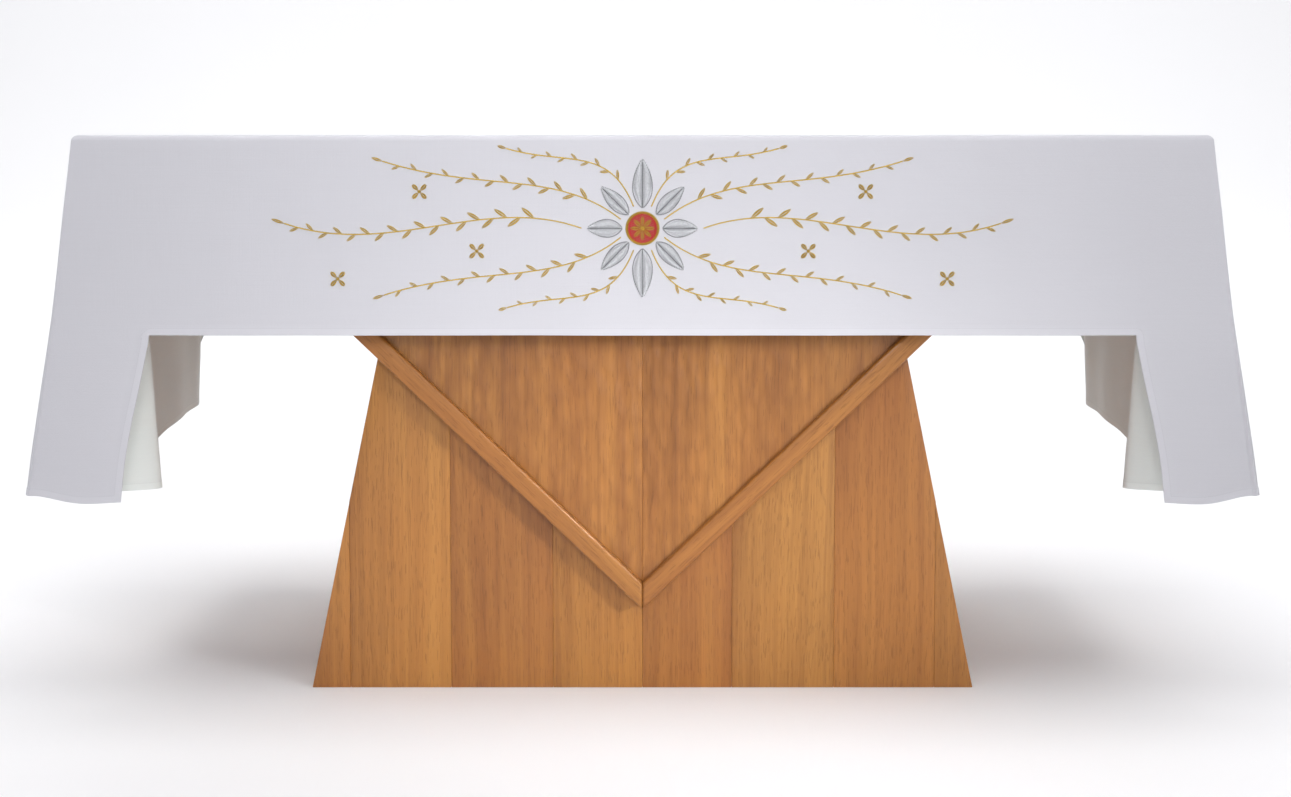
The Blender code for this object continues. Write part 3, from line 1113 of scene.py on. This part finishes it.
# A sprig's stem, as four guide points of a curve on the right side, each to the right of the
# middle and below the top, and the leaves along it.
Sprig = namedtuple("Sprig", "root first second tip leaves leaf_length")
SPRIGS = (
    Sprig((0.096, 0.146), (0.250, 0.090), (0.400, 0.195), (0.566, 0.138), 18, 0.027),
    Sprig((0.034, 0.132), (0.135, 0.052), (0.255, 0.090), (0.410, 0.040), 14, 0.023),
    Sprig((0.034, 0.160), (0.135, 0.240), (0.255, 0.202), (0.410, 0.252), 14, 0.023),
    Sprig((0.014, 0.112), (0.052, 0.014), (0.120, 0.048), (0.215, 0.020), 9, 0.018),
    Sprig((0.014, 0.180), (0.052, 0.278), (0.120, 0.244), (0.215, 0.272), 9, 0.018),
)
# Where a sprig's first leaf grows, as a share of its stem
FIRST_LEAF = 0.14
# Small four-petalled flowers between the sprigs, on the right side
FLOWERS = ((0.262, 0.182), (0.352, 0.088), (0.482, 0.226))

# How a sprig's leaves stand off its stem, how slender they are, and how they shrink along it
LEAF_TURN = 0.62
LEAF_WIDTH_SHARE = 0.27
LEAF_SHRINKING = (1.05, 0.45)
TIP_LEAF_SHARE, TIP_LEAF_WIDTH = 0.8, 0.0052

# A flower's petals and the ring of its knot
PETAL = Leaf(0.0135, 0.0070, 0.0025)
KNOT = (0.0004, 0.0028)


def stem_point(sprig, share):
    """A place on the stem and its direction there."""
    a, b, c, d = (np.array(p) for p in (sprig.root, sprig.first, sprig.second, sprig.tip))
    t = share
    place = (1 - t) ** 3 * a + 3 * (1 - t) ** 2 * t * b + 3 * (1 - t) * t**2 * c + t**3 * d
    way = (1 - t) ** 2 * (b - a) + 2 * (1 - t) * t * (c - b) + t**2 * (d - c)
    return place, way


class ALTARCLOTH_OT_sprigs(bpy.types.Operator):
    """Sews the gold sprigs and small flowers on both sides of the rosette"""

    bl_idname = "altar_cloth.sprigs"
    bl_label = "Sprigs and flowers"

    def execute(self, context):
        cloth = context.scene.altar_cloth_sheet
        gold = context.scene["gold_thread"]
        shape = unit_stitch()
        stems, leaves, flowers = [], [], []
        for sprig in SPRIGS:
            line = [stem_point(sprig, t)[0] for t in np.linspace(0.0, 1.0, 90)]
            stems += line_of_stitches(line, *STEM)
            for number in range(sprig.leaves):
                share = FIRST_LEAF + (1 - FIRST_LEAF) * (number + 0.5) / (sprig.leaves + 0.5)
                place, way = stem_point(sprig, share)
                side = 1 if number % 2 else -1
                angle = math.atan2(way[1], way[0]) + side * LEAF_TURN
                length = sprig.leaf_length * (LEAF_SHRINKING[0] - LEAF_SHRINKING[1] * share)
                leaves += satin_leaf(place, angle, length, LEAF_WIDTH_SHARE * length, *SPRIG_SATIN)
            tip, way = stem_point(sprig, 1.0)
            leaves += satin_leaf(
                tip, math.atan2(way[1], way[0]), sprig.leaf_length * TIP_LEAF_SHARE,
                TIP_LEAF_WIDTH, *TIP_SATIN,
            )
        for spot in FLOWERS:
            origin = np.array(spot)
            for number in range(4):
                angle = math.pi / 4 + math.pi / 2 * number
                root = origin + pointing(angle) * PETAL.root
                flowers += satin_leaf(root, angle, *PETAL[:2], *PETAL_SATIN)
            flowers += ring_of_stitches(origin, *KNOT, *KNOT_SATIN)
        for name, stitches in (("stems", stems), ("leaves", leaves), ("flowers", flowers)):
            for side, sign in (("left", -1), ("right", 1)):
                mirrored = np.array(stitches) * (sign, 1, sign, 1, 1, 1, 1)
                sewn(f"sprig_{name}_{side}", cloth, mirrored, shape, gold)
        return {"FINISHED"}


# The table

# The boards' oaks: a seed for the grain, and the warmth of the wood
UPRIGHT_OAKS = ((1, 0.35), (2, 0.75), (3, 0.15), (4, 0.60))

# Edges that lie this close to a board's front are its front edges
FRONT_REACH = 0.0005

# Faces that meet at less than this are shaded as one
SMOOTH_ANGLE = math.radians(35)


def board_copy(node, name, rounding, segments, finish, front_only=False):
    """A board's form, closed up to its neighbours and with softened edges, in its node's place."""
    source = frame["nodes"][node]
    board = linked(name, source.data.copy())
    board.matrix_world = source.matrix_world.copy()
    make_active(board)
    bpy.ops.object.mode_set(mode="EDIT")
    bpy.ops.mesh.select_all(action="SELECT")
    bpy.ops.mesh.remove_doubles(threshold=MERGE_DISTANCE)
    bpy.ops.mesh.dissolve_limited(angle_limit=math.radians(1))
    low, high = (Vector(corner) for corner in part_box(node))
    spread = [1 + JOINT_GAP / (high[axis] - low[axis]) for axis in (0, 1)]
    bpy.ops.transform.resize(value=(*spread, 1.0), center_override=(low + high) / 2)
    bpy.ops.mesh.select_all(action="DESELECT")
    bpy.ops.object.mode_set(mode="OBJECT")
    front = min((board.matrix_world @ v.co).y for v in board.data.vertices)
    for edge in board.data.edges:
        ends = [board.matrix_world @ board.data.vertices[i].co for i in edge.vertices]
        edge.select = not front_only or all(end.y < front + FRONT_REACH for end in ends)
    bpy.ops.object.mode_set(mode="EDIT")
    bpy.ops.mesh.bevel(offset=rounding, segments=segments, affect="EDGES")
    bpy.ops.object.mode_set(mode="OBJECT")
    board.data.materials.clear()
    board.data.materials.append(finish)
    bpy.ops.object.shade_smooth_by_angle(angle=SMOOTH_ANGLE)
    riding(board)
    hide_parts(node)
    return board


def upright_oaks(name, settings, lean):
    """Four oaks for the boards of a wall, their grain leaning in as the wall does."""
    return [
        oak(f"oak_{name}_{seed}", settings, seed, turn=(0.0, lean, 0.0), warmth=warmth)
        for seed, warmth in UPRIGHT_OAKS
    ]


class ALTARCLOTH_OT_boards(bpy.types.Operator):
    """Adds the upright boards of the table's body, each with softened edges"""

    bl_idname = "altar_cloth.boards"
    bl_label = "Upright boards"

    def execute(self, context):
        settings = context.scene.altar_cloth_table
        oaks = {
            "front_board": upright_oaks("upright", settings, 0.0),
            "side_board_left": upright_oaks("left_end", settings, -END_LEAN),
            "side_board_right": upright_oaks("right_end", settings, END_LEAN),
        }
        oaks["back_board"] = oaks["front_board"]
        nodes = sorted(node for node in frame["nodes"] if node.startswith(tuple(oaks)))
        for number, node in enumerate(nodes):
            finishes = next(oaks[wall] for wall in oaks if node.startswith(wall))
            finish = finishes[(number * 3 + number // 4) % len(finishes)]
            board_copy(node, f"{node}_oak", settings.arris, 2, finish)
        return {"FINISHED"}


class ALTARCLOTH_OT_front_board(bpy.types.Operator):
    """Adds the V-shaped front board and its raised border"""

    bl_idname = "altar_cloth.front_board"
    bl_label = "Front board and border"

    def execute(self, context):
        settings = context.scene.altar_cloth_table
        low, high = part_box("v_board_right")
        slant = math.atan2(high[2] - low[2], high[0] - low[0])
        for side, sign in (("left", -1), ("right", 1)):
            board = oak(
                f"oak_front_{side}", settings, 5 + sign, warmth=0.48 + 0.06 * sign, tooled=True
            )
            node = f"v_board_{side}"
            board_copy(node, f"{node}_oak", settings.arris, 2, board)
            # The border is darkened all over by shade: a painted shade of its shadowed lower face
            border = oak(
                f"oak_border_{side}", settings, 8 + sign,
                turn=(0.0, sign * (slant - math.pi / 2), 0.0), warmth=0.7, shade=0.16,
            )
            node = f"v_border_{side}"
            board_copy(
                node, f"{node}_oak", settings.border_edge, 4, border, front_only=True
            )
        return {"FINISHED"}


class ALTARCLOTH_OT_slab(bpy.types.Operator):
    """Adds the slab under the cloth, its edges well rounded"""

    bl_idname = "altar_cloth.slab"
    bl_label = "Slab"

    ROUNDING = 0.012

    def execute(self, context):
        settings = context.scene.altar_cloth_table
        low, high = Vector(SLAB_LOW), Vector(SLAB_HIGH)
        deselect_all()
        bpy.ops.mesh.primitive_cube_add(size=1.0, location=(low + high) / 2, scale=high - low)
        slab = bpy.context.active_object
        slab.name = "slab_oak"
        slab.data.name = "slab_oak"
        bpy.ops.object.transform_apply(location=True, rotation=True, scale=True)
        bpy.ops.object.mode_set(mode="EDIT")
        bpy.ops.mesh.select_all(action="SELECT")
        bpy.ops.mesh.bevel(offset=self.ROUNDING, segments=5, affect="EDGES")
        bpy.ops.object.mode_set(mode="OBJECT")
        slab.data.materials.append(
            oak("oak_slab", settings, 11, turn=(0.0, math.pi / 2, 0.0), warmth=0.45)
        )
        bpy.ops.object.shade_smooth_by_angle(angle=SMOOTH_ANGLE)
        riding(slab)
        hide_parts("table_slab")
        return {"FINISHED"}


# Each soft light: its place, what it is aimed at, its sides, its power and its spread in degrees
Light = namedtuple("Light", "name place aim size power spread")
LIGHTS = (
    Light("key light", (2.3, -2.8, 2.2), (-0.1, -0.3, 0.4), (0.9, 0.9), 9.0, 180),
    Light("middle light", (0.0, -4.6, 2.2), (-0.05, -0.43, 0.75), (0.8, 0.8), 2.0, 30),
    Light("low light", (2.3, -2.6, 1.0), (-0.06, -0.37, 0.21), (0.4, 0.4), 0.9, 22),
    Light("floor light", (0.0, -1.5, 11.0), (0.0, -1.5, 0.0), (9.0, 8.0), 710.0, 180),
    Light("backdrop light", (0.0, 9.0, 8.5), (0.0, 9.0, 0.0), (18.0, 6.0), 700.0, 180),
    Light("far light", (0.0, -18.0, 14.0), (0.0, -18.0, 0.0), (26.0, 14.0), 700.0, 90),
)
SKY_COLOUR, SKY_STRENGTH = (0.94, 0.94, 1.0), 0.5

# The floor's side and middle, and the wall that it curves up into at its far edge
FLOOR_SIZE, FLOOR_MIDDLE = 60.0, (0.0, -14.0, 0.0)
WALL_HEIGHT, WALL_CURVE, WALL_SEGMENTS = 12.0, 6.0, 24


class ALTARCLOTH_OT_stage(bpy.types.Operator):
    """Adds the pale floor and backdrop, the soft lights and the camera"""

    bl_idname = "altar_cloth.stage"
    bl_label = "Stage"

    IMAGE_WIDTH = 1291
    IMAGE_HEIGHT = 797
    PIXELS_PER_METRE = 634.0
    TOP_EDGE_ROW = 135
    MIDDLE_COLUMN = 642.5

    def execute(self, context):
        settings = context.scene.altar_cloth_stage
        context.scene.view_settings.view_transform = "Standard"
        self.add_floor(settings)
        self.add_lights()
        self.add_camera(context, settings)
        return {"FINISHED"}

    def add_floor(self, settings):
        deselect_all()
        bpy.ops.mesh.primitive_plane_add(size=FLOOR_SIZE, location=FLOOR_MIDDLE)
        floor = bpy.context.active_object
        floor.name = "floor"
        bpy.ops.object.mode_set(mode="EDIT")
        bpy.ops.mesh.select_all(action="DESELECT")
        bpy.ops.object.mode_set(mode="OBJECT")
        for edge in floor.data.edges:
            edge.select = all(floor.data.vertices[i].co.y > 0 for i in edge.vertices)
        bpy.ops.object.mode_set(mode="EDIT")
        bpy.ops.mesh.select_mode(type="EDGE")
        bpy.ops.mesh.extrude_region_move(TRANSFORM_OT_translate={"value": (0.0, 0.0, WALL_HEIGHT)})
        bpy.ops.mesh.select_all(action="DESELECT")
        bpy.ops.object.mode_set(mode="OBJECT")
        for edge in floor.data.edges:
            ends = [floor.data.vertices[i].co for i in edge.vertices]
            edge.select = all(end.y > 0 and abs(end.z) < 0.01 for end in ends)
        bpy.ops.object.mode_set(mode="EDIT")
        bpy.ops.mesh.bevel(offset=WALL_CURVE, segments=WALL_SEGMENTS, affect="EDGES")
        bpy.ops.object.mode_set(mode="OBJECT")
        bpy.ops.object.shade_smooth()
        finish = Finish("pale_floor", Roughness=0.9, Specular_IOR_Level=0.1)
        soft = finish.noise(finish.place(), 0.6, 2.0)
        finish.drive("Base Color", finish.mixed(
            soft, opaque(settings.floor_colour, 0.99), opaque(settings.floor_colour, 1.01)
        ))
        floor.data.materials.append(finish.material)

    def add_lights(self):
        world = bpy.data.worlds.new("studio")
        world.use_nodes = True
        background = world.node_tree.nodes["Background"]
        background.inputs["Color"].default_value = opaque(SKY_COLOUR)
        background.inputs["Strength"].default_value = SKY_STRENGTH
        bpy.context.scene.world = world
        for lamp in LIGHTS:
            data = bpy.data.lights.new(lamp.name, "AREA")
            data.shape = "RECTANGLE"
            data.size, data.size_y = lamp.size
            data.energy = lamp.power
            data.spread = math.radians(lamp.spread)
            light = bpy.data.objects.new(lamp.name, data)
            bpy.context.scene.collection.objects.link(light)
            light.location = lamp.place
            way = Vector(lamp.aim) - Vector(lamp.place)
            light.rotation_euler = way.to_track_quat("-Z", "Y").to_euler()

    def add_camera(self, context, settings):
        data = bpy.data.cameras.new("camera")
        camera = bpy.data.objects.new("camera", data)
        context.scene.collection.objects.link(camera)
        front = SHEET_HALF_DEPTH + SOLID_THICKNESS / 2
        camera.location = (0.0, -front - settings.camera_distance, CLOTH_TOP)
        camera.rotation_euler = (math.pi / 2 - settings.camera_tilt, 0.0, 0.0)
        focal_pixels = self.PIXELS_PER_METRE * settings.camera_distance
        axis_row = self.TOP_EDGE_ROW + focal_pixels * math.tan(settings.camera_tilt)
        data.lens = focal_pixels / self.IMAGE_WIDTH * data.sensor_width
        data.shift_x = (self.IMAGE_WIDTH / 2 - self.MIDDLE_COLUMN) / self.IMAGE_WIDTH
        data.shift_y = (axis_row - self.IMAGE_HEIGHT / 2) / self.IMAGE_WIDTH
        context.scene.camera = camera


class ALTARCLOTH_PT_panel(bpy.types.Panel):
    """Lists the steps that build the cloth and its table"""

    bl_idname = "ALTARCLOTH_PT_panel"
    bl_label = "Altar Cloth"
    bl_space_type = "VIEW_3D"
    bl_region_type = "UI"
    bl_category = "Altar Cloth"

    def draw(self, context):
        for group in SETTINGS:
            box = self.layout.box()
            values = getattr(context.scene, group)
            for name in values.bl_rna.properties.keys():
                if name not in ("rna_type", "name"):
                    box.prop(values, name)
        for operator in OPERATORS:
            self.layout.operator(operator.bl_idname)


SETTINGS = {
    "altar_cloth_sheet": ClothSettings,
    "altar_cloth_embroidery": EmbroiderySettings,
    "altar_cloth_table": TableSettings,
    "altar_cloth_stage": StageSettings,
}
OPERATORS = (
    ALTARCLOTH_OT_stage,
    ALTARCLOTH_OT_sheet,
    ALTARCLOTH_OT_rosette,
    ALTARCLOTH_OT_sprigs,
    ALTARCLOTH_OT_slab,
    ALTARCLOTH_OT_boards,
    ALTARCLOTH_OT_front_board,
)
CLASSES = (*SETTINGS.values(), *OPERATORS, ALTARCLOTH_PT_panel)


def register():
    for listed in CLASSES:
        bpy.utils.register_class(listed)
    for name, group in SETTINGS.items():
        setattr(bpy.types.Scene, name, bpy.props.PointerProperty(type=group))


def unregister():
    for name in SETTINGS:
        delattr(bpy.types.Scene, name)
    for listed in reversed(CLASSES):
        bpy.utils.unregister_class(listed)


def main():
    register()
    bpy.ops.altar_cloth.stage()
    bpy.ops.altar_cloth.sheet()
    bpy.ops.altar_cloth.rosette()
    bpy.ops.altar_cloth.sprigs()
    bpy.ops.altar_cloth.slab()
    bpy.ops.altar_cloth.boards()
    bpy.ops.altar_cloth.front_board()
    embroidery = [piece for piece in bpy.data.objects if "sewn_on" in piece]


if __name__ == "__main__":
    main()
